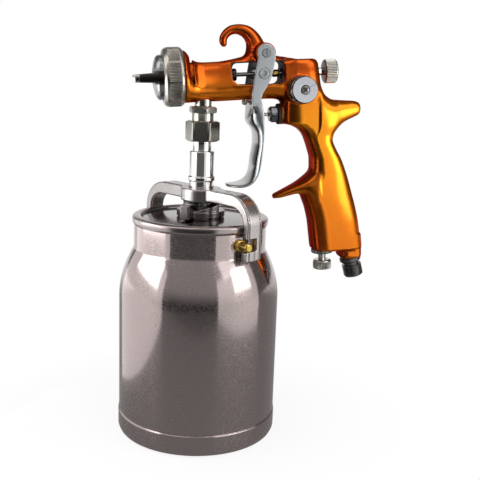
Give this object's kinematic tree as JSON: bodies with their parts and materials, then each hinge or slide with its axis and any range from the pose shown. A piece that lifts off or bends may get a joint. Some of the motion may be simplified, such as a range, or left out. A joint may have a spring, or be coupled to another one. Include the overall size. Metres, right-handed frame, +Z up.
{
  "type": "spray gun",
  "caption": "Siphon-feed spray gun with an orange cast body, hooked top, trigger and knobs, on a metal quart cup held by a yoke clamp.",
  "frame": {"origin": "middle of the cup's flat base", "axes": "+Z up along the cup's axis; the nozzle points to -X and 4 degrees down, the handle lies to +X, and the fan knob faces -Y"},
  "size_m": [0.1648, 0.105, 0.2643],
  "materials": {
    "orange_casting": "orange anodised, gloss",
    "cup_metal": "brushed",
    "lid_metal": "polished",
    "cast_alloy": "satin",
    "nickel": "bright nickel plate",
    "dark_plate": "dark plated",
    "steel": "satin",
    "brass": "turned",
    "seal": "white plastic seal",
    "rubber": "black rubber"
  },
  "bodies": {
    "gun": {"cup_body": "cup_metal", "cup_pins": "brass", "lid": "lid_metal", "lid_gasket": "rubber", "material_stem": "nickel", "stem_locknut": "steel", "pickup_tube": "steel", "stem_seal": "seal", "fluid_nipple": "nickel", "gun_body": "orange_casting", "fluid_nozzle": "steel", "nozzle_gasket": "seal", "baffle": "steel", "needle_packing": "seal", "packing_nut": "dark_plate", "needle_spring": "steel", "trigger_pivot": "steel", "pivot_nut": "steel", "passage_plug": "steel", "air_valve_body": "dark_plate", "air_valve_spring": "steel", "fan_valve_sleeve": "steel", "flow_gland": "dark_plate", "air_inlet": "dark_plate", "inlet_seal": "rubber"},
    "trigger": {"trigger": "nickel", "trigger_bush": "steel"},
    "needle": {"needle": "steel", "needle_collar": "brass"},
    "air_valve": {"air_valve_stem": "steel", "air_valve_poppet": "seal"},
    "needle_knob": {"needle_knob": "nickel"},
    "fan_knob": {"fan_knob": "nickel", "fan_knob_screw": "steel", "fan_valve_stem": "steel"},
    "flow_knob": {"flow_knob": "nickel", "flow_valve_stem": "steel"},
    "air_cap": {"air_cap": "dark_plate"},
    "retaining_collar": {"retaining_collar": "nickel"},
    "swivel_nut": {"swivel_nut": "nickel"},
    "yoke": {"yoke": "cast_alloy"},
    "cam_lever": {"cam_lever": "dark_plate"}
  },
  "joints": [
    {"name": "trigger_pull", "type": "hinge", "parent": "gun", "child": "trigger", "pos_m": [0.03624, 0, 0.24696], "axis": [0, -1, 0], "range_deg": [0, 15], "stiffness_Nm_per_rad": 3, "springref_deg": -5.73},
    {"name": "needle_slide", "type": "slide", "parent": "gun", "child": "needle", "axis": [0.9976, 0, 0.0698], "range_m": [0, 0.00325], "deforming": ["needle_spring"]},
    {"name": "air_valve_slide", "type": "slide", "parent": "gun", "child": "air_valve", "axis": [0.9976, 0, 0.0698], "range_m": [0, 0.0101], "deforming": ["air_valve_spring"]},
    {"name": "needle_knob_turn", "type": "hinge", "parent": "gun", "child": "needle_knob", "pos_m": [0.0808, 0, 0.23765], "axis": [0.9976, 0, 0.0698], "range_deg": [0, 1170]},
    {"name": "fan_knob_turn", "type": "hinge", "parent": "gun", "child": "fan_knob", "pos_m": [0.05898, -0.02, 0.2258], "axis": [0, -1, 0], "range_deg": [0, 630]},
    {"name": "flow_knob_turn", "type": "hinge", "parent": "gun", "child": "flow_knob", "pos_m": [0.08331, 0, 0.11152], "axis": [0.0698, 0, -0.9976], "range_deg": [0, 810]},
    {"name": "air_cap_turn", "type": "hinge", "parent": "gun", "child": "air_cap", "pos_m": [-0.02793, 0, 0.23005], "axis": [0.9976, 0, 0.0698], "range_deg": [-90, 90]},
    {"name": "collar_turn", "type": "hinge", "parent": "gun", "child": "retaining_collar", "pos_m": [-0.01995, 0, 0.23061], "axis": [0.9976, 0, 0.0698], "range_deg": [0, 900]},
    {"name": "swivel_nut_turn", "type": "hinge", "parent": "gun", "child": "swivel_nut", "pos_m": [0, 0, 0.198], "axis": [0, 0, 1], "range_deg": [0, 1080]},
    {"name": "yoke_turn", "type": "hinge", "parent": "gun", "child": "yoke", "pos_m": [0, 0, 0.158], "axis": [0, 0, 1], "range_deg": [0, 12]},
    {"name": "cam_turn", "type": "hinge", "parent": "gun", "child": "cam_lever", "pos_m": [0, 0, 0.148], "axis": [0, 0, 1], "range_deg": [0, 75]}
  ],
  "couplings": [
    {"joint": "needle_slide", "follows": "trigger_pull", "m_per_rad": 0.0119},
    {"joint": "air_valve_slide", "follows": "trigger_pull", "m_per_rad": 0.0375}
  ]
}
